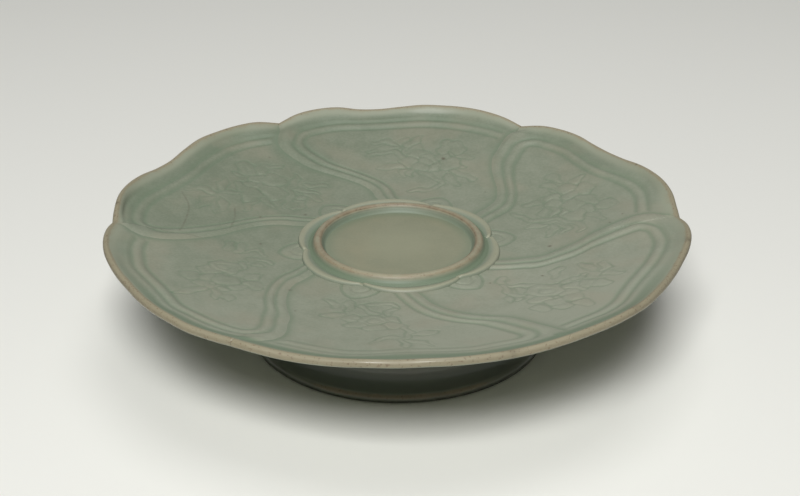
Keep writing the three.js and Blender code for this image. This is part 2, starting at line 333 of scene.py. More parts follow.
# Each petal: the angle of its lapped notch, the angle of its lapped edge at LAP_RADII, and, at thirteen even
# places from its notch to the next one's, how far out and up the rim stands and the radius of the ribbon.
LAP_RADII = [25, 36, 40, 45, 50, 55, 60, 65, 70, 75, 78.5, 81.5, 84, 86.5, 88]
PETALS = {
    "left_back": dict(
        notch=182.1,
        lap=(153, 159.5, 160.9, 165.5, 171.7, 178.2, 182.2, 184.9, 186.7, 187.3,
             187, 185.9, 183.8, 182.3, 182.1),
        reach=(0.5, 1.2, 2.0, 2.1, 1.6, 0.8, 0.6, 1.4, 2.2, 2.4, 2.3, 1.9, 0.5),
        rise=(0.7, 2.1, 2.75, 2.6, 2.0, 1.0, 0.8, 1.7, 2.7, 2.8, 2.8, 2.3, 0.6),
        ribbon=(79.8, 81.5, 82.2, 81.2, 79.2, 78.1, 78.1, 79.5, 80.8, 81.9, 81.5, 79.8, 77.6),
    ),
    "back": dict(
        notch=118.9,
        lap=(99, 103.4, 103.8, 106.8, 111.9, 117, 121, 122.8, 123.8, 123.5, 122.3, 121, 120.1, 119.1, 118.9),
        reach=(0.5, 1.9, 2.6, 2.3, 1.4, 1.3, 1.7, 2.2, 2.7, 2.7, 2.1, 1.3, 0),
        rise=(0.6, 2.3, 2.8, 2.75, 1.7, 1.5, 2.1, 2.8, 2.8, 2.8, 2.5, 1.6, 0),
        ribbon=(77.7, 79.7, 81, 81, 80, 80, 80.8, 82, 82.5, 82.1, 81.2, 79.9, 77.9),
    ),
    "right_back": dict(
        notch=59.9,
        lap=(39, 43.1, 43.8, 45.3, 49.6, 54.7, 58.7, 61, 61.6, 61.9, 61.8, 61.1, 60.3, 60, 59.9),
        reach=(0, 1.2, 1.5, 1.4, 0.8, 0.5, 0.7, 1.4, 1.8, 1.9, 1.5, 0.6, 0),
        rise=(0, 1.4, 1.85, 1.7, 0.9, 0.6, 0.9, 1.7, 2.2, 2.3, 1.85, 0.7, -0.1),
        ribbon=(78.2, 80.5, 80.7, 80.3, 78.5, 77.3, 77.5, 79.6, 81.2, 80.9, 79, 77.3, 76.6),
    ),
    "right_front": dict(
        notch=1.0,
        lap=(-22, -15.7, -13, -10.8, -6.3, -2.7, 1.3, 3.5, 4.9, 5.5, 5.1, 4, 2.7, 1.2, 1),
        reach=(0, 1.3, 1.8, 1.5, 0.8, 0.5, 0.7, 1.3, 2.1, 2.3, 2.3, 2.1, 2.0),
        rise=(-0.1, 1.5, 2.2, 1.9, 1.4, 1.1, 1.4, 2.0, 2.5, 2.7, 2.75, 2.7, 2.5),
        ribbon=(77.4, 79.2, 80.4, 79.8, 79, 78.2, 77.9, 78.5, 79.7, 79.8, 79.1, 78.9, 78.7),
    ),
    "front": dict(
        notch=-60,
        lap=(-82, -76.3, -74.3, -71.1, -67.2, -63, -58.8, -57.3, -56.6, -56.2, -56.3, -56.9, -57.8, -59, -60),
        reach=(2.0, 1.7, 1.4, 1.6, 1.8, 1.85, 1.8, 1.6, 1.2, 0.8, 0.7, 0.8, 1.0),
        rise=(2.5, 2.1, 1.8, 2.0, 2.2, 2.4, 2.2, 2.0, 1.4, 0.9, 0.8, 1.0, 1.2),
        ribbon=(79.2, 78.7, 78.3, 78.6, 78, 77.4, 77.4, 78.5, 79.2, 78.9, 78.6, 78.6, 78.6),
    ),
    "left_front": dict(
        notch=-120.3,
        lap=(-146, -139.2, -138.3, -134.6, -129.6, -124.5, -119.7, -117.3, -115, -114.2,
             -114.7, -116, -118, -119.8, -120.3),
        reach=(1.0, 1.4, 2.2, 2.4, 2.4, 2.1, 1.8, 2.1, 2.5, 2.75, 2.45, 1.7, 0.5),
        rise=(1.2, 1.0, 1.2, 1.5, 1.45, 1.3, 1.25, 1.5, 2.0, 2.4, 2.5, 2.0, 0.7),
        ribbon=(79, 79.8, 80.3, 80.6, 81.1, 80.3, 79.9, 80.4, 81.1, 80.7, 80.1, 78.2, 77.2),
    ),
}

# The sprigs in plan. A stem or leaf is its half width and then the points it runs through. A bloom is its
# middle, its two half widths and its turn in degrees.
SPRIGS = {
    "left_back": dict(
        stems=[
            (0.5, (-53.6, 49.6), (-52.2, 51.4), (-48.6, 49.8), (-44.6, 49.9), (-39.7, 51.1)),
            (0.6, (-34.2, 31.2), (-31.5, 29.8), (-31.7, 26.8), (-33.7, 24.8)),
            (0.5, (-46.6, 32.7), (-52.6, 31.2), (-57.5, 29.8)),
            (0.5, (-41.7, 30.8), (-45.1, 28.4), (-49.6, 27.3)),
        ],
        leaves=[
            (1.1, (-58.5, 30.8), (-58.3, 34.7), (-56.8, 38.7)),
            (1.1, (-59.5, 28.8), (-63.5, 29.8), (-68.4, 28.3)),
            (1.1, (-60, 26.3), (-63, 22.3), (-64.5, 17.4)),
            (1.1, (-57.5, 25.8), (-56.9, 20.8), (-58, 16.4)),
            (0.8, (-52.1, 42.3), (-55.2, 43.1)),
            (0.9, (-45.6, 28.8), (-48.4, 25.3), (-49.6, 20.8)),
            (0.9, (-44.6, 28.8), (-42.1, 27.6), (-40.5, 24.8)),
            (0.9, (-34.7, 46.1), (-35.2, 39.7), (-36, 33.7), (-36.7, 25.8)),
            (0.9, (-34.1, 37.1), (-30.3, 37.7), (-26.8, 36.7)),
            (0.9, (-30.8, 36.2), (-28.1, 34.3), (-26.1, 31.3)),
            (0.8, (-31.2, 41.2), (-27.3, 42), (-23.8, 41)),
        ],
        blooms=[
            (-47.1, 46.9, 2.0, 1.9, 0),
            (-51.4, 47.4, 2.2, 3.1, 0),
            (-46.8, 41.3, 2.4, 2.3, 0),
            (-46.8, 36.4, 2.2, 1.5, 0),
            (-51.2, 35.3, 2.0, 2.0, 0),
            (-48.5, 31.3, 2.2, 3.2, -15),
            (-41.6, 34.7, 3.1, 3.4, 0),
            (-41.7, 42, 3.1, 2.8, 0),
            (-49.2, 38.3, 1.2, 1.2, 0),
            (-32.7, 33.1, 1.3, 0.9, 30),
        ],
    ),
    "back": dict(
        stems=[
            (0.7, (6.4, 53.1), (10.4, 50.1), (14.2, 45.6), (12.9, 42.3), (9.9, 40.5), (5, 40.1)),
            (0.6, (19.1, 60), (18.8, 63.5)),
        ],
        leaves=[
            (1.2, (2.5, 60), (0, 63.5), (-5, 64.5), (-10.4, 61)),
            (1.1, (0.5, 65.5), (-4, 69.9), (-9.4, 69.9)),
            (0.9, (-0.5, 66.5), (-5, 66.1), (-9.9, 64.3)),
            (0.9, (0.5, 68.4), (1.5, 70.9), (3.8, 72.6)),
            (1.1, (2, 68.1), (5.5, 70.4), (8.4, 73.7)),
            (0.8, (3.5, 66), (6.4, 67.1), (8.4, 64.5)),
            (1.3, (3, 56.5), (-2, 55.2), (-6.9, 54)),
            (0.8, (3.5, 54.4), (2.2, 52.6), (2.2, 49.8)),
            (0.8, (5.2, 54.1), (4.4, 52.1), (4.6, 49.4)),
            (1.1, (19.8, 60.1), (22.8, 60.5), (25.8, 59.5)),
            (1.0, (16.5, 49.6), (17.9, 46.1), (19.6, 42)),
            (1.0, (18.8, 51.1), (22.3, 49.1), (25.3, 45.6)),
            (0.9, (17.4, 52.6), (20.3, 54.4), (22.3, 54.2)),
        ],
        blooms=[
            (7.4, 61.7, 2.9, 2.2, 20),
            (3.9, 58.1, 2.4, 2.1, 0),
            (11.2, 60.1, 2.1, 1.7, -30),
            (12.2, 54.8, 2.6, 1.9, 20),
            (7.5, 55, 2.3, 1.9, 0),
            (17.5, 56.5, 2.6, 2.9, 0),
            (15.8, 61.1, 1.6, 1.9, 0),
            (8.9, 58.1, 1.6, 1.5, 0),
            (16.9, 66.5, 1.9, 3.4, -12),
            (20.4, 65.9, 1.9, 3.2, 18),
        ],
    ),
    "right_back": dict(
        stems=[
            (0.6, (37.2, 20.8), (40.7, 17.4), (44.6, 15.6), (49.6, 14.9), (53.6, 12.9), (57.5, 8.9), (58, 5)),
            (0.5, (50.6, 32.7), (53.6, 30.8), (55.6, 28.8)),
        ],
        leaves=[
            (1.1, (49.6, 42.7), (51.8, 41.1), (54.6, 37.7)),
            (1.0, (48.1, 37.2), (50.2, 36.1), (53.1, 33.7)),
            (1.0, (56.5, 35.2), (59.7, 36.7), (61.5, 39.2)),
            (1.0, (41.7, 25.3), (44.6, 27), (47.6, 26.8)),
            (0.8, (47.6, 29.1), (49.2, 26.8)),
            (0.9, (47.1, 22.3), (46.5, 19.8), (47.1, 17.4)),
            (0.9, (50.2, 22.4), (50.5, 19.4), (49.6, 16.9)),
            (0.9, (40.7, 10.9), (44.1, 12.2), (47.6, 11.9)),
            (0.9, (49.2, 10.9), (48.9, 7.4), (47.1, 4)),
            (0.8, (50.6, 10.7), (53.1, 7.9), (51.6, 4.5)),
            (1.0, (60.5, 15.9), (63.1, 13.4), (64.3, 10.1)),
        ],
        blooms=[
            (50.9, 28, 2.2, 1.9, 20),
            (50.8, 24.6, 1.8, 1.6, 0),
            (66.5, 19.8, 2.6, 2.2, 0),
            (60.5, 18.1, 2.1, 1.8, 0),
            (53.8, 17.5, 1.1, 2.6, 10),
            (56.9, 15.3, 2.3, 2.9, 0),
            (61.1, 24.4, 2.6, 2.2, -20),
            (60.5, 31, 2.6, 2.4, 30),
            (55, 32.7, 2.4, 2.2, 0),
            (56.5, 22.4, 2.5, 2.7, 0),
            (56.5, 28.8, 1.7, 1.6, 0),
        ],
    ),
    "right_front": dict(
        stems=[
            (0.6, (32.2, -22.3), (29.6, -24.8), (31.7, -27.3), (35.7, -28.4), (39.7, -29.3)),
            (0.5, (31.2, -27.8), (32.7, -32.7), (34.7, -38.7)),
            (0.5, (54.6, -25.8), (50.6, -29.3), (47.6, -30.8)),
        ],
        leaves=[
            (1.1, (55.1, -17.9), (57.2, -20.8), (58, -24.8)),
            (1.0, (62, -19.3), (62.1, -22.8), (60, -25.8)),
            (1.0, (49.6, -18.8), (47.3, -21.4), (46.1, -24.8)),
            (1.0, (59.5, -29), (62.5, -28.4), (66, -29.4)),
            (0.9, (51.1, -27.4), (54.1, -28.5)),
            (0.8, (31.7, -36.3), (32.1, -39.3)),
            (0.8, (34.7, -29.8), (36.9, -32.3), (37.7, -35.7)),
            (0.7, (32.7, -34.7), (34.9, -35.1), (36.7, -36.4)),
        ],
        blooms=[
            (40.7, -47.6, 2.0, 1.8, 0),
            (46.6, -46.6, 2.2, 1.9, 0),
            (52.6, -46.6, 2.0, 1.8, 0),
            (40.7, -40.9, 2.4, 2.0, 0),
            (45.8, -43.3, 2.4, 2.0, 0),
            (50, -41.3, 2.3, 2.1, 0),
            (51.8, -34.1, 2.5, 2.3, 0),
            (56.1, -32.9, 2.2, 2.0, 0),
            (59.1, -34.7, 1.9, 1.7, 0),
            (48.8, -37.7, 2.0, 1.8, 0),
            (42.9, -33.9, 4.0, 3.4, 0),
            (43.3, -34.5, 1.5, 1.4, 0),
        ],
    ),
    "front": dict(
        stems=[
            (0.5, (-9.9, -39.1), (-6, -38.1), (-1, -39.7)),
            (0.5, (-10.9, -39.7), (-8.5, -42.7), (-6, -45.6)),
            (0.5, (-1, -41.7), (-3, -45.6)),
            (0.6, (2, -55.6), (3, -60.5), (2, -65.5), (2, -72.4)),
        ],
        leaves=[
            (1.0, (-20.8, -36.7), (-18.8, -38.3), (-17.9, -41.2)),
            (1.0, (-14.9, -37.2), (-14.1, -40.3), (-13.9, -43.6)),
            (1.0, (-21.8, -49.1), (-18.5, -47.2), (-14.9, -45.6)),
            (1.0, (4, -62.5), (7.3, -61.9), (10.9, -59.5)),
            (1.0, (3, -67.5), (6.4, -69.4), (8.3, -72.4)),
            (1.0, (0.5, -64.5), (-3.6, -65.9), (-6.4, -68.9)),
        ],
        blooms=[
            (-12.5, -50.4, 2.5, 2.0, 0),
            (-11.1, -54.8, 2.4, 2.0, 0),
            (-3.2, -50.6, 2.4, 2.0, 0),
            (-1.4, -55, 2.3, 1.9, 0),
            (-6.2, -56.5, 2.3, 1.9, 0),
            (-7.5, -50.2, 3.0, 2.6, 0),
            (-7.3, -50.8, 1.3, 1.2, 0),
        ],
    ),
    "left_front": dict(
        stems=[
            (0.5, (-47.6, -6.9), (-44.1, -5.2), (-40.7, -7.9)),
            (0.5, (-45.6, -12.9), (-42.1, -11.1), (-38.7, -12.4)),
            (0.5, (-54.1, -32.7), (-51.6, -24.8), (-48.6, -18.8)),
        ],
        leaves=[
            (0.9, (-49.6, -7.9), (-48.6, -4.5), (-49.6, -1)),
            (0.9, (-51.6, -7.9), (-52.6, -4.5), (-51.6, -1)),
            (0.8, (-44.6, -14.9), (-41.7, -15.9)),
            (0.9, (-47.6, -19.8), (-46.8, -17.5), (-47.6, -14.9)),
            (1.0, (-46.1, -25.8), (-43.1, -24.4), (-41.2, -21.3)),
            (1.1, (-55.6, -36.7), (-60, -39.7), (-63, -43.6)),
            (1.1, (-54.1, -37.7), (-52.4, -39.7), (-51.6, -43.2)),
            (0.9, (-51.1, -39.7), (-49, -40.9), (-47.6, -43.2)),
            (0.9, (-56.5, -35.2), (-58.8, -32.7)),
            (0.9, (-52.2, -35.9), (-49.2, -34.9)),
        ],
        blooms=[
            (-55.9, -23.6, 2.6, 2.2, 0),
            (-55.8, -28.8, 2.4, 2.1, 0),
            (-61.5, -28.8, 2.3, 1.9, 0),
            (-42.9, -30, 2.5, 2.1, 0),
            (-46.8, -33.1, 1.9, 1.6, 0),
            (-50.8, -28.8, 3.0, 2.7, 0),
            (-51.6, -19.4, 3.5, 3.0, 0),
            (-51.6, -19.6, 1.4, 1.3, 0),
        ],
    ),
}
RELIEF = 0.2  # how far leaves and blooms stand up
STEM_RELIEF = 0.8 * RELIEF
PAD_SHOULDER = 1.9  # how far in from its edge a leaf or bloom reaches its height
OUTLINE, OUTLINE_DEPTH = 1.2, 0.12  # the groove cut round each
VEIN_WIDTH, VEIN_DEPTH = 0.35, 0.05
BLOOM_GROWTH = 1.25
BLOOM_HOLLOW = 0.06
HAND_WAVER = 0.45  # how far a drawn line strays
COLLAR_NOTCH_RADIUS = 29.3
COLLAR_TURN = 8.5  # the collar's notches stand this far round from the dish's
LEAF_TIP_MIDDLE, LEAF_TIP_LENGTH, LEAF_TIP_HALF_WIDTH = 29.5, 7.2, 5.4  # the leaf tips behind the collar
LEAF_TIP_POINTING = 0.14  # how much a tip narrows outwards
LEAF_TIP_RELIEF = 0.22
LEAF_TIP_BORDER, LEAF_TIP_GROOVE = 2.3, 0.5  # the border's width, and that of the groove inside it

# Marks of the kiln: iron specks and rusty patches as (x, y, radius, strength), and hairlines as the points
# that they run through.
SPECKS = [
    (15.6, 59.3, 0.7, 1),
    (-44.3, 56, 0.35, 1),
    (-30.3, 21.3, 0.5, 1),
    (-44.5, 17.8, 0.35, 1),
    (-31.8, -31, 0.5, 1),
    (-29.3, -46.5, 0.35, 1),
    (43, -23, 0.4, 1),
    (27.3, -25.5, 0.3, 1),
    (47, -3, 0.55, 1),
    (71, 10, 0.35, 1),
    (29, 37, 0.3, 1),
    (66.5, 6, 0.3, 1),
    (79, 38, 0.35, 1),
    (-43, -0.5, 0.4, 1),
    (-88.5, 6.5, 0.9, 0.9),
    (86.6, -18.3, 1.3, 0.8),
    (29.8, -83.5, 2.6, 0.35),
    (64.9, -60.3, 2.2, 0.35),
]
HAIRLINES = [
    [(-70.5, 25.5), (-67.6, 19), (-67.2, 10), (-68, 0)],
    [(-53, 21), (-52.4, 15), (-53, 8)],
]
HAIRLINE_WIDTH, HAIRLINE_STRENGTH = 0.22, 0.55
RIM_GLINTS = [(-97, 5), (-83, 5), (-119, 2.5), (-58, 1.2)]  # angle and half width of the rim's glossy places

# How green the glaze pools in the dish's hollows, how dark the painted shade on the inner wall at the front
# is, and how thin the glaze lies on what stands up, from 0 to 1.
POOLS_AND_SHADE = dict(wall=0.5, front_wall_shade=0.85, lap=0.55, groove=0.55, carving=0.46, channel=0.8)
THINNED = dict(wall=0.66, ridge=0.12, band=0.1, sprig=0.1)


def rim_at(angle):
    """The rim's reach and rise and the ribbon's radius at each angle: a bracket with two bumps to a petal."""
    reach, rise, ribbon = np.zeros(len(angle)), np.zeros(len(angle)), np.zeros(len(angle))
    for petal, after in with_next(list(PETALS.values())):
        share = ((petal["notch"] - angle) % 360) / ((petal["notch"] - after["notch"]) % 360)
        on_petal = share <= 1
        places = np.linspace(0, 1, len(petal["reach"]))
        reach[on_petal] = smooth_through(share[on_petal], places, petal["reach"])
        rise[on_petal] = smooth_through(share[on_petal], places, petal["rise"])
        ribbon[on_petal] = smooth_through(share[on_petal], places, petal["ribbon"])
    return reach, rise, ribbon


def dish_height(r):
    """Height of the plain dish over its bed: flat, then a shallow bowl, then the ribbon and the wall."""
    dip = BED_DIP * np.sin(math.pi * share_of(r, SEAT_EDGE, BED_RADIUS))
    field = FIELD_RISE * share_of(r, BED_RADIUS, FIELD_RADIUS) ** FIELD_CURVE
    ribbon = (WALL_FOOT_RISE - FIELD_RISE) * share_of(r, FIELD_RADIUS, WALL_FOOT_RADIUS)
    wall = (NOTCH_RISE - WALL_FOOT_RISE) * share_of(r, WALL_FOOT_RADIUS, CREST_RADIUS) ** WALL_CURVE
    return field - dip + ribbon + wall


def nearest(xy, line):
    """Distance from each point to a drawn line, and how far along the line that is, from 0 to 1."""
    gap, along = np.full(len(xy), np.inf), np.zeros(len(xy))
    for i, (a, b) in enumerate(zip(line, line[1:])):
        span = b - a
        t = np.clip(((xy - a) @ span) / (span @ span), 0, 1)
        distance = np.linalg.norm(xy - a - t[:, None] * span, axis=1)
        closer = distance < gap
        gap[closer] = distance[closer]
        along[closer] = (i + t[closer]) / (len(line) - 1)
    return gap, along


def near_box(xy, points, margin=4.0):
    """Which points lie in or close to the box round a few others."""
    low, high = np.min(points, axis=0) - margin, np.max(points, axis=0) + margin
    return np.flatnonzero(np.all((xy > low) & (xy < high), axis=1))


def lay_pad(relief, gap, height):
    """Lays a rounded pad of clay over the relief. gap is the distance from its edge, less than 0 inside."""
    shoulder = np.sin(share_of(-gap, 0, PAD_SHOULDER) * math.pi / 2) * height
    ditch = -OUTLINE_DEPTH * np.sin(share_of(gap, 0, OUTLINE) * math.pi)
    outside = relief * smooth_step(gap, 0, OUTLINE) + ditch
    return np.where(gap < 0, shoulder, np.where(gap < OUTLINE, outside, relief))


def oval_gap(xy, x, y, a, b, turn):
    """Distance of each point from the edge of an oval, less than 0 inside it."""
    c, s = math.cos(math.radians(turn)), math.sin(math.radians(turn))
    right, up = xy[:, 0] - x, xy[:, 1] - y
    u, v = (c * right + s * up) / a, (c * up - s * right) / b
    share = np.hypot(u, v) + 1e-6
    return share * (share - 1) / (np.hypot(u / a, v / b) + 1e-6)


def sprig_relief(xy, sprig):
    """Stems, leaves and blooms in low relief, drawn with a slightly unsteady hand and worn down in places."""
    x, y = xy.T
    stray = [np.sin(1.1 * y + 0.4 * x) + np.sin(0.53 * y), np.sin(0.97 * x - 0.5 * y) + np.sin(0.6 * x)]
    xy = xy + HAND_WAVER * np.stack(stray, axis=1)
    relief = np.zeros(len(xy))
    for half_width, *points in sprig["stems"]:
        by = near_box(xy, points)
        gap, _ = nearest(xy[by], line_through(points, 1.5))
        relief[by] = lay_pad(relief[by], gap - half_width, STEM_RELIEF)
    for half_width, *points in sprig["leaves"]:
        by = near_box(xy, points)
        gap, along = nearest(xy[by], line_through(points, 1.0))
        taper = half_width * (0.15 + np.sin(math.pi * along**0.8) ** 0.8)
        vein = VEIN_DEPTH * bump_at(gap, 0, VEIN_WIDTH) * np.sin(math.pi * along)
        relief[by] = lay_pad(relief[by], gap - taper, RELIEF) - vein
    for middle_x, middle_y, a, b, turn in sprig["blooms"]:
        by = near_box(xy, [(middle_x, middle_y)], 6.0)
        gap = oval_gap(xy[by], middle_x, middle_y, BLOOM_GROWTH * a, BLOOM_GROWTH * b, turn)
        relief[by] = lay_pad(relief[by], gap, RELIEF) - BLOOM_HOLLOW * smooth_step(-gap, 0.9, 2.4)
    worn_down = 0.75 + 0.35 * np.sin(0.55 * xy[:, 0] + 1.3) * np.sin(0.6 * xy[:, 1])
    return relief * worn_down


def leaf_tip_relief(xy, angle):
    """A round-shouldered leaf tip behind the collar: a raised border, a groove and a raised heart."""
    c, s = math.cos(math.radians(angle)), math.sin(math.radians(angle))
    out, side = c * xy[:, 0] + s * xy[:, 1] - LEAF_TIP_MIDDLE, c * xy[:, 1] - s * xy[:, 0]
    by = np.flatnonzero(np.maximum(np.abs(out), np.abs(side)) < 2 * LEAF_TIP_LENGTH)
    pointed = LEAF_TIP_POINTING * np.clip(out[by], 0, None) ** 2 / LEAF_TIP_LENGTH
    across = (np.abs(side[by]) + pointed) / LEAF_TIP_HALF_WIDTH
    gap = (np.hypot(out[by] / LEAF_TIP_LENGTH, across) - 1) * LEAF_TIP_HALF_WIDTH
    groove = LEAF_TIP_RELIEF * bump_at(gap, -LEAF_TIP_BORDER, LEAF_TIP_GROOVE)
    relief = np.zeros(len(xy))
    relief[by] = lay_pad(relief[by], gap, LEAF_TIP_RELIEF) - groove
    return relief


def kiln_marks(xy):
    """How strong the specks, patches and hairlines are at each point."""
    marks = np.zeros(len(xy))
    for x, y, radius, strength in SPECKS:
        marks = np.maximum(marks, strength * bump_at(np.hypot(xy[:, 0] - x, xy[:, 1] - y), 0, radius))
    for line in HAIRLINES:
        by = near_box(xy, line)
        gap, _ = nearest(xy[by], line_through(line, 1.0))
        marks[by] = np.maximum(marks[by], HAIRLINE_STRENGTH * bump_at(gap, 0, HAIRLINE_WIDTH))
    return marks


def painted_light_and_shade_at(xy):
    """Painted light and shade: the glaze is painted lighter and warmer towards the front right, where the
    light falls, and darker and cooler towards the back left.
    """
    return 0.5 + (0.5 * xy[:, 0] - 0.86 * xy[:, 1]) / 170


def edge_angle(petal, r):
    """The angle of a petal's lapped edge at each radius, in degrees."""
    return smooth_through(r, LAP_RADII, petal["lap"])


def ribbon_inset(petal, r, angle, ribbon):
    """How far in from its ribbon's middle each point of a petal lies, and 1 where it is on the rim's side.

    The ribbon runs along the lapped edge and the rim, and turns a round corner at the notch between them.
    """
    widening = NARROWEST + (1 - NARROWEST) * smooth_step(r, 36, 56)
    edge = edge_angle(petal, np.minimum(r, RIBBON_SIDE_END))
    from_lap = np.radians(edge - angle) * r / widening - BAND_WIDTH - RIBBON_SIDE_HALF
    from_lap *= RIBBON_HALF / RIBBON_SIDE_HALF
    from_rim = ribbon - r
    corner = RIBBON_CORNER - np.hypot(RIBBON_CORNER - from_lap, RIBBON_CORNER - from_rim)
    in_corner = (from_lap < RIBBON_CORNER) & (from_rim < RIBBON_CORNER)
    inset = np.where(in_corner, corner, np.minimum(from_lap, from_rim))
    return inset, smooth_step(from_lap - from_rim, 0, 4)


rim_turns = np.radians(np.arange(90, -55, -10))
rim_arc = [(CREST_RADIUS + CREST * math.cos(a), RIM - CREST + CREST * math.sin(a)) for a in rim_turns]
top_radii = np.arange(SEAT_EDGE, CREST_RADIUS - ROW_SPACING / 2, ROW_SPACING)
top_line = [(r, BED + dish_height(r)) for r in top_radii]
under_line = line_through(
    [
        rim_arc[-1],
        (85.2, RIM - 3.0),
        (83.0, RIM - 3.9),
        (79.4, RIM - 5.2),
        (66.7, BED + 4.6 - THICKNESS),
        (54.8, FOOT_HEIGHT + 1.2),
        (43.2, FOOT_HEIGHT),
        (UNDER_SEAM, FOOT_HEIGHT),
    ],
    1.2,
)
seam_line = [(UNDER_SEAM + (SEAT_EDGE - UNDER_SEAM) * t, FOOT_HEIGHT + THICKNESS * t) for t in SEAM_STEPS]
petal_outline = [*top_line, *rim_arc, *under_line[1:], *seam_line]
plain_petal = turned("dish_petal", petal_outline, COLUMNS, -math.radians(PETAL_ANGLE))
plain_points = read_points(plain_petal)
plain_r, plain_z = np.hypot(plain_points[:, 0], plain_points[:, 1]), plain_points[:, 2]
plain_turn = -np.degrees(np.arctan2(plain_points[:, 1], plain_points[:, 0])) / PETAL_ANGLE
on_top = plain_z > BED + dish_height(plain_r) - THICKNESS / 2
on_crest = plain_r > CREST_RADIUS
up_wall = smooth_step(plain_r, WALL_FOOT_RADIUS, CREST_RADIUS)
past_collar = smooth_step(plain_r, *CARVING_START)
dish_tones = "#6e7764", "#909483", "#908a78", "#64755f", "#8e927f", "#8b846d"
dish_glaze = celadon("celadon glaze on the dish", 0.46, *dish_tones)


def bend_wedge(petal, after):
    """Bends the plain wedge into one petal, and measures where on it each point lies."""
    under_lap = np.degrees(LAP_UNDER / plain_r) * smooth_step(plain_r, *LAP_START) * (1 - up_wall)
    start = np.where(on_top, edge_angle(petal, plain_r), petal["notch"])
    stop = np.where(on_top, edge_angle(after, plain_r) - under_lap, after["notch"])
    stop = np.where(after["notch"] > petal["notch"], stop - 360, stop)
    angle = start + (stop - start) * plain_turn
    radians = np.radians(angle)
    reach, rise, ribbon = rim_at(angle)
    up_bowl = smooth_step(plain_r, (BED_RADIUS + FIELD_RADIUS) / 2, FIELD_RADIUS)
    bowl_reach = (ribbon - RIBBON_RADIUS) * up_bowl
    r = plain_r + bowl_reach + (reach - bowl_reach) * up_wall
    inset, rim_side = ribbon_inset(petal, r, angle, ribbon)
    return SimpleNamespace(
        r=r,
        xy=np.stack([r * np.cos(radians), r * np.sin(radians)], axis=1),
        z=plain_z + rise * share_of(plain_r, FIELD_RADIUS, CREST_RADIUS) ** WALL_CURVE,
        radians=radians,
        towards_front=-np.sin(radians),
        from_edge=np.radians(start - angle) * r,  # from the petal's own lapped edge
        to_next=np.radians(angle - stop - under_lap) * r,  # to the next petal's lapped edge
        to_end=np.radians(angle - stop) * r,  # to the wedge's end, under that petal's band
        inset=inset,  # inwards from the ribbon's middle
        rim_side=rim_side,
    )


def carve_petal(clay, sprig, leaf_tip_angle):
    """Cuts a petal's band, ribbon, sprig and leaf tip into its upper side, and the furrow under its laps."""
    pressed = smooth_step(clay.to_next, 0.3, 2.4)
    pressed *= 1 - 0.5 * smooth_step(clay.towards_front, 0.75, 0.95) * clay.rim_side
    ridge = np.cos(math.pi / 2 * share_of(np.abs(clay.inset), 0, RIBBON_HALF - 0.2)) ** 2
    clay.ridge = pressed * ridge
    clay.groove = pressed * bump_at(np.abs(clay.inset), RIBBON_HALF, GROOVE_WIDTH)
    clay.band = smooth_through(clay.from_edge, BAND_PLACES, BAND_SECTION)
    clay.sprig = sprig_relief(clay.xy, sprig)
    clay.leaf_tip = leaf_tip_relief(clay.xy, leaf_tip_angle)
    cut = clay.band + RIBBON_HEIGHT * clay.ridge - GROOVE_DEPTH * clay.groove + clay.sprig
    cut *= past_collar * (1 - smooth_step(plain_r, WALL_FOOT_RADIUS + 1, CREST_RADIUS - 1))
    furrow = FURROW_DEPTH * bump_at(np.minimum(clay.from_edge, clay.to_end), 0, FURROW_WIDTH)
    furrow *= smooth_step(plain_r, 46, 60) * (1 - smooth_step(plain_r, 78, 84))
    clay.z += np.where(on_top, cut + clay.leaf_tip, furrow)


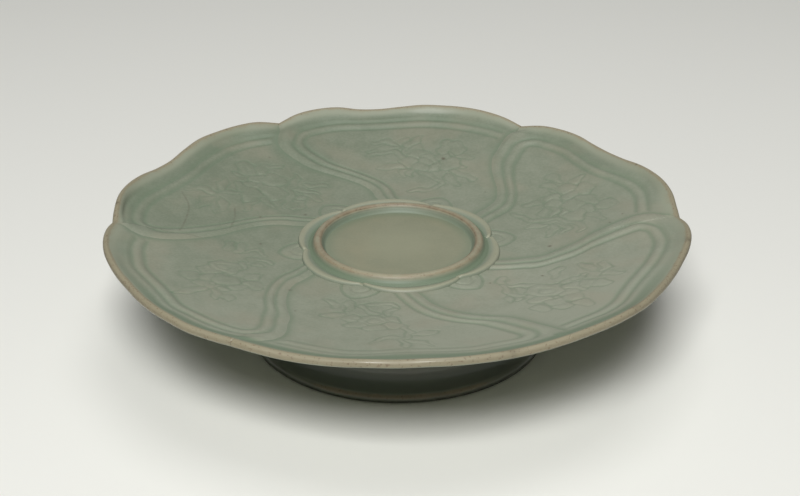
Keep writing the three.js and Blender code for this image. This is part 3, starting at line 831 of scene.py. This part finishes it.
def glaze_petal(mesh, clay):
    """Paints where the glaze gathers thick, thins, is stained by iron or stayed glossy, the painted shade on
    the inner wall at the front, and the painted light and shade across the dish.
    """
    below = RIM - plain_z
    in_front = smooth_step(clay.towards_front, 0.1, 0.8)
    crest = smooth_step(plain_r, CREST_RADIUS - 2.0, CREST_RADIUS) * (1 - smooth_step(below, 1.5, 2.6))

    wall_pool = POOLS_AND_SHADE["wall"] * np.exp(-np.clip(-clay.inset - RIBBON_HALF, 0, None) / 2.5) * clay.rim_side
    wall_pool *= smooth_step(-clay.inset, RIBBON_HALF - 0.8, RIBBON_HALF + 0.4) * (1 - 0.6 * in_front)
    # painted shade: the inner wall at the front faces away from the light and is painted darker
    front_wall_painted_shade = smooth_step(plain_r, WALL_FOOT_RADIUS - 0.5, WALL_FOOT_RADIUS + 2.5) * in_front
    lap_pool = POOLS_AND_SHADE["lap"] * np.exp(-np.clip(clay.to_next, 0, None) / 1.2) * past_collar
    carving = share_of(-(clay.sprig + 2 * clay.leaf_tip), 0, OUTLINE_DEPTH)
    cut_pool = POOLS_AND_SHADE["groove"] * clay.groove * past_collar + POOLS_AND_SHADE["carving"] * carving
    channel = 1 - smooth_step(clay.r, 28.5, 31)
    pools_and_shade = [wall_pool, POOLS_AND_SHADE["front_wall_shade"] * front_wall_painted_shade, lap_pool, cut_pool, POOLS_AND_SHADE["channel"] * channel]
    paint(mesh, "pool_and_painted_shade", np.where(on_top, np.maximum.reduce(pools_and_shade) * (1 - crest), 0))

    # the paler thin glaze is left off the wall at the front, as part of its painted shade
    wall_thin = THINNED["wall"] * smooth_step(plain_r, WALL_FOOT_RADIUS + 0.5, CREST_RADIUS) * (1 - in_front)
    raised_thin = THINNED["ridge"] * clay.ridge
    raised_thin += THINNED["band"] * smooth_step(clay.band / BAND_HEIGHT, 0.6, 1)
    raised_thin += THINNED["sprig"] * share_of(clay.sprig + clay.leaf_tip, 0, RELIEF)
    thins = [crest, wall_thin * on_top, raised_thin * past_collar * on_top]
    paint(mesh, "thin_and_painted_light", np.maximum.reduce(thins))

    under_crest = bump_at(below, 0.9, 0.4) * on_crest * (0.2 + 0.5 * np.cos(clay.radians) ** 4)
    marks = np.maximum(kiln_marks(clay.xy), under_crest)
    paint(mesh, "stain", np.where(on_top | on_crest, marks, 0))
    paint(mesh, "tone_and_painted_light", painted_light_and_shade_at(clay.xy))

    glints = [bump_at(np.degrees(clay.radians) % 360, middle % 360, width) for middle, width in RIM_GLINTS]
    glossy_under = 0.9 * smooth_step(below, 1.1, 1.8) * on_crest
    paint(mesh, "gloss", np.maximum(np.maximum.reduce(glints) * (below < 1.2), glossy_under))


for name, after in with_next(list(PETALS)):
    petal_clay = bend_wedge(PETALS[name], PETALS[after])
    carve_petal(petal_clay, SPRIGS[name], PETALS[name]["notch"] - PETAL_ANGLE + COLLAR_TURN)
    petal_mesh = plain_petal.copy()
    glaze_petal(petal_mesh, petal_clay)
    petal_mesh.vertices.foreach_set("co", np.column_stack([petal_clay.xy, petal_clay.z]).ravel())
    petal_mesh.update()
    petal_piece = set_down("dish_petal_" + name, petal_mesh, dish_glaze)
    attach(petal_piece, "root")
    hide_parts("dish")


# Seat. The flat middle of the same dish, inside the ring, where the cup's foot stands. Cups have rubbed its
# glaze thin in the middle, and it pools round the ring's foot.
SEAT_RUBBED = 4, 20  # radii between which the thin glaze ends
SEAT_POOL = 18.5, 23.6  # radii between which it starts to pool
SEAT_STEPS = 192

seat_top = [(r, BED) for r in np.linspace(0, SEAT_EDGE, 60)]
seat_mesh = turned("dish_seat", [*seat_top, (UNDER_SEAM, FOOT_HEIGHT), (0, FOOT_HEIGHT)], SEAT_STEPS)
seat_points = read_points(seat_mesh)
seat_r = np.hypot(seat_points[:, 0], seat_points[:, 1])
seat_face = seat_points[:, 2] > BED - THICKNESS / 2
paint(seat_mesh, "pool_and_painted_shade", 0.6 * smooth_step(seat_r, *SEAT_POOL) * seat_face)
paint(seat_mesh, "thin_and_painted_light", 0.25 * (1 - smooth_step(seat_r, *SEAT_RUBBED)))
paint(seat_mesh, "tone_and_painted_light", painted_light_and_shade_at(seat_points))
seat_tones = "#787b65", "#898a73", "#918a70", "#677662", "#8f9078", "#878069"
seat_glaze = celadon("celadon glaze on the seat", 0.38, *seat_tones)
seat = set_down("dish_seat", seat_mesh, seat_glaze)
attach(seat, "root")
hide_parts("dish")


# Petal collar. A low wall of six little petals, trimmed from a coil of clay luted round the ring. Its inner
# side is wiped down into the channel, each petal's end is tucked behind the next, and the glaze on its edge
# is thin.
COLLAR_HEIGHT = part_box("petal_collar")[1].z / MM - BED
COLLAR_REACH = 2.7  # how far a petal bows out
COLLAR_TUCK = 0.3
LOBE_COLUMNS = 120
LOBE_OVERLAP = 0.03  # share of a petal's width

wall_line = line_through(
    [
        (COLLAR_NOTCH_RADIUS - 4.3, BED - 0.3),
        (COLLAR_NOTCH_RADIUS - 3.7, BED + 0.1),
        (COLLAR_NOTCH_RADIUS - 2.7, BED + 0.42 * COLLAR_HEIGHT),
        (COLLAR_NOTCH_RADIUS - 1.9, BED + 0.75 * COLLAR_HEIGHT),
        (COLLAR_NOTCH_RADIUS - 1.2, BED + 0.95 * COLLAR_HEIGHT),
        (COLLAR_NOTCH_RADIUS - 0.7, BED + COLLAR_HEIGHT),
        (COLLAR_NOTCH_RADIUS - 0.25, BED + 0.9 * COLLAR_HEIGHT),
        (COLLAR_NOTCH_RADIUS + 0.1, BED + 0.6 * COLLAR_HEIGHT),
        (COLLAR_NOTCH_RADIUS + 0.3, BED + 0.2 * COLLAR_HEIGHT),
        (COLLAR_NOTCH_RADIUS + 0.35, BED - 0.3),
    ],
    0.2,
)
plain_lobe = turned("collar_lobe", wall_line, LOBE_COLUMNS, math.radians(PETAL_ANGLE))
lobe_points = read_points(plain_lobe)
lobe_r, lobe_z = np.hypot(lobe_points[:, 0], lobe_points[:, 1]), lobe_points[:, 2]
lobe_share = np.degrees(np.arctan2(lobe_points[:, 1], lobe_points[:, 0])) / PETAL_ANGLE
lobe_share = np.clip(lobe_share, 0, 1) * (1 + 2 * LOBE_OVERLAP) - LOBE_OVERLAP
bow = np.sin(math.pi * np.clip(lobe_share, 0, 1)) ** 0.7
width_share = 0.5 + 0.5 * bow
bowed_r = COLLAR_NOTCH_RADIUS + COLLAR_REACH * bow - (COLLAR_NOTCH_RADIUS - lobe_r) * width_share
bowed_r += COLLAR_TUCK * (2 * lobe_share - 1) * (1 - bow)
lobe_rise = (lobe_z - BED) / COLLAR_HEIGHT
end_dip = 1 - smooth_step(np.abs(2 * lobe_share - 1), 0.93, 1 + 2 * LOBE_OVERLAP)
lobe_z = np.where(lobe_rise > 0, BED + (lobe_z - BED) * end_dip, lobe_z)

collar = bmesh.new()
for number in range(len(PETALS)):
    angles = np.radians(COLLAR_TURN + PETAL_ANGLE * (number + lobe_share))
    lobe = plain_lobe.copy()
    placed = np.column_stack([bowed_r * np.cos(angles), bowed_r * np.sin(angles), lobe_z])
    lobe.vertices.foreach_set("co", placed.ravel())
    paint(lobe, "thin_and_painted_light", 0.56 * smooth_step(lobe_rise, 0.4, 1.0))
    paint(lobe, "pool_and_painted_shade", 0.8 * (1 - smooth_step(lobe_rise, 0, 0.6)) * (lobe_r < COLLAR_NOTCH_RADIUS - 0.6))
    paint(lobe, "tone_and_painted_light", painted_light_and_shade_at(placed))
    collar.from_mesh(lobe)
    bpy.data.meshes.remove(lobe)
collar_mesh = bpy.data.meshes.new("petal_collar_glazed")
collar.to_mesh(collar_mesh)
collar.free()
collar_tones = "#748070", "#888d7c", "#8b8575", "#64745e", "#8f917c", "#8b8770"
collar_glaze = celadon("celadon glaze on the collar", 0.5, *collar_tones)
collar_piece = set_down("petal_collar_glazed", collar_mesh, collar_glaze)
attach(collar_piece, "root")
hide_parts("petal_collar")


# Cup ring. A thrown ring luted to the seat; a cup's foot drops inside it. Cups have worn its lip, and the
# glaze there is thin, buff and freckled with iron.
RING_RADIUS = 26.3
RING_LIP = 2.2
RING_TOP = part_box("cup_rest_ring")[1].z / MM
RING_STEPS = 384
LIP_STAIN_AND_LIT_FRONT = -24, -10  # its lip is stained behind the second, and left lighter in front of the first as painted light where the light falls

ring_inner = RING_RADIUS - RING_LIP
ring_rise = RING_TOP - BED
ring_line = line_through(
    [
        (ring_inner - 1.8, BED - 0.3),
        (ring_inner - 1.1, BED + 0.08 * ring_rise),
        (ring_inner - 0.45, BED + 0.5 * ring_rise),
        (ring_inner + 0.05, BED + 0.87 * ring_rise),
        (ring_inner + 0.5, BED + 0.98 * ring_rise),
        (RING_RADIUS - 0.5 * RING_LIP, RING_TOP),
        (RING_RADIUS - 0.5, BED + 0.95 * ring_rise),
        (RING_RADIUS, BED + 0.78 * ring_rise),
        (RING_RADIUS + 0.35, BED + 0.5 * ring_rise),
        (RING_RADIUS + 0.8, BED + 0.25 * ring_rise),
        (RING_RADIUS + 1.6, BED + 0.08 * ring_rise),
        (RING_RADIUS + 2.6, BED - 0.3),
    ],
    0.15,
)
ring_mesh = turned("cup_ring_glazed", ring_line, RING_STEPS)
ring_points = read_points(ring_mesh)
ring_r, ring_share = np.hypot(ring_points[:, 0], ring_points[:, 1]), (ring_points[:, 2] - BED) / ring_rise
lip_edges = np.maximum(bump_at(ring_r, ring_inner + 0.1, 0.45), bump_at(ring_r, RING_RADIUS + 0.1, 0.45))
inner_line, outer_line = bump_at(ring_r, ring_inner + 0.05, 0.17), bump_at(ring_r, RING_RADIUS + 0.05, 0.17)
lip_lines = np.maximum(inner_line, 0.7 * outer_line)
# painted light: the stain is left off the lip's front, which shows lighter where the light falls
lip_stain_and_lit_front = 0.24 * smooth_step(ring_points[:, 1], *LIP_STAIN_AND_LIT_FRONT)
ring_outside = smooth_step(ring_r, ring_inner, RING_RADIUS)
paint(ring_mesh, "thin_and_painted_light", 0.68 * smooth_step(ring_share, 0.6, 0.95) + 0.35 * lip_edges)
paint(ring_mesh, "pool_and_painted_shade", (0.5 + 0.4 * ring_outside) * (1 - smooth_step(ring_share, 0.25, 0.75)))
paint(ring_mesh, "stain", np.maximum(0.6 * lip_lines, lip_stain_and_lit_front) * (ring_share > 0.5))
paint(ring_mesh, "tone_and_painted_light", painted_light_and_shade_at(ring_points))
paint(ring_mesh, "gloss", 0.7 * smooth_step(ring_share, 0.6, 0.9))
ring_tones = "#748070", "#888d7c", "#8b8575", "#62715b", "#97967f", "#8c7f67"
ring_glaze = celadon("celadon glaze on the cup ring", 0.52, *ring_tones)
ring = set_down("cup_ring_glazed", ring_mesh, ring_glaze)
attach(ring, "root")
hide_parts("cup_rest_ring")


# Studio. A pale seamless floor, one large soft lamp high in front and a weaker one overhead. Shiny surfaces
# see pale paper all round, and the room itself is dim.
FLOOR_HALF = 4  # lengths and places in this section are in metres
ROOM_GLOW, PAPER_GLOW = 0.053, 0.5

floor_bm = bmesh.new()
bmesh.ops.create_grid(floor_bm, x_segments=1, y_segments=1, size=FLOOR_HALF)
floor_mesh = bpy.data.meshes.new("floor")
floor_bm.to_mesh(floor_mesh)
floor_bm.free()
floor = bpy.data.objects.new("floor", floor_mesh)
bpy.context.scene.collection.objects.link(floor)
paper = bpy.data.materials.new("matt paper backdrop")
paper.use_nodes = True
paper_shader = paper.node_tree.nodes["Principled BSDF"]
paper_shader.inputs["Base Color"].default_value = colour("#eaeae4")
paper_shader.inputs["Roughness"].default_value = 0.9
floor_mesh.materials.append(paper)


def soft_lamp(name, azimuth, elevation, distance, width, height, power):
    """A rectangular lamp that faces the stand, at an azimuth and elevation in degrees."""
    turn, lift = math.radians(azimuth), math.radians(elevation)
    direction = Vector((math.cos(lift) * math.cos(turn), math.cos(lift) * math.sin(turn), math.sin(lift)))
    place = direction * distance
    lamp = bpy.data.lights.new(name, "AREA")
    lamp.shape, lamp.size, lamp.size_y, lamp.energy = "RECTANGLE", width, height, power
    holder = bpy.data.objects.new(name, lamp)
    holder.location = place
    holder.rotation_euler = (-place).to_track_quat("-Z", "Y").to_euler()
    bpy.context.scene.collection.objects.link(holder)


soft_lamp("lamp in front", 264, 50, 1.4, 0.62, 0.45, 18.4)
soft_lamp("lamp above", 60, 82, 1.3, 0.7, 0.7, 4)
world = bpy.data.worlds.new("dim studio")
world.use_nodes = True
room = world.node_tree
ray = add(room, "LightPath", {}).outputs
shiny = {0: ray["Is Glossy Ray"], 1: ray["Is Transmission Ray"]}
seen = {0: add(room, "Math", shiny, operation="MAXIMUM").outputs[0], 1: ray["Is Camera Ray"]}
paper_seen = add(room, "Math", seen, operation="MAXIMUM").outputs[0]
brightness = {"Value": paper_seen, "To Min": ROOM_GLOW, "To Max": PAPER_GLOW}
glow = add(room, "MapRange", brightness).outputs["Result"]
room.links.new(glow, room.nodes["Background"].inputs["Strength"])
room.nodes["Background"].inputs["Color"].default_value = colour("#f4f4ee")
bpy.context.scene.world = world
bpy.context.scene.view_settings.view_transform = "Standard"


# Camera. As in the photograph: from the front, looking down on the stand from about half a metre off. It
# points at the middle of the rim, and its lens is shifted to place the stand in the picture.
CAMERA_ELEVATION = math.radians(25.75)
CAMERA_DISTANCE = 476  # in millimetres, from the middle of the rim
camera = bpy.data.cameras.new("camera")
camera.lens, camera.sensor_width = 69.12, 36
camera.shift_x, camera.shift_y = 0.0021, -0.0371
camera.clip_start = 0.05
camera_holder = bpy.data.objects.new("camera", camera)
back, up = -CAMERA_DISTANCE * math.cos(CAMERA_ELEVATION), CAMERA_DISTANCE * math.sin(CAMERA_ELEVATION)
camera_holder.location = Vector((0, back, RIM + up)) * MM
camera_holder.rotation_euler = (math.pi / 2 - CAMERA_ELEVATION, 0, 0)
bpy.context.scene.collection.objects.link(camera_holder)
bpy.context.scene.camera = camera_holder
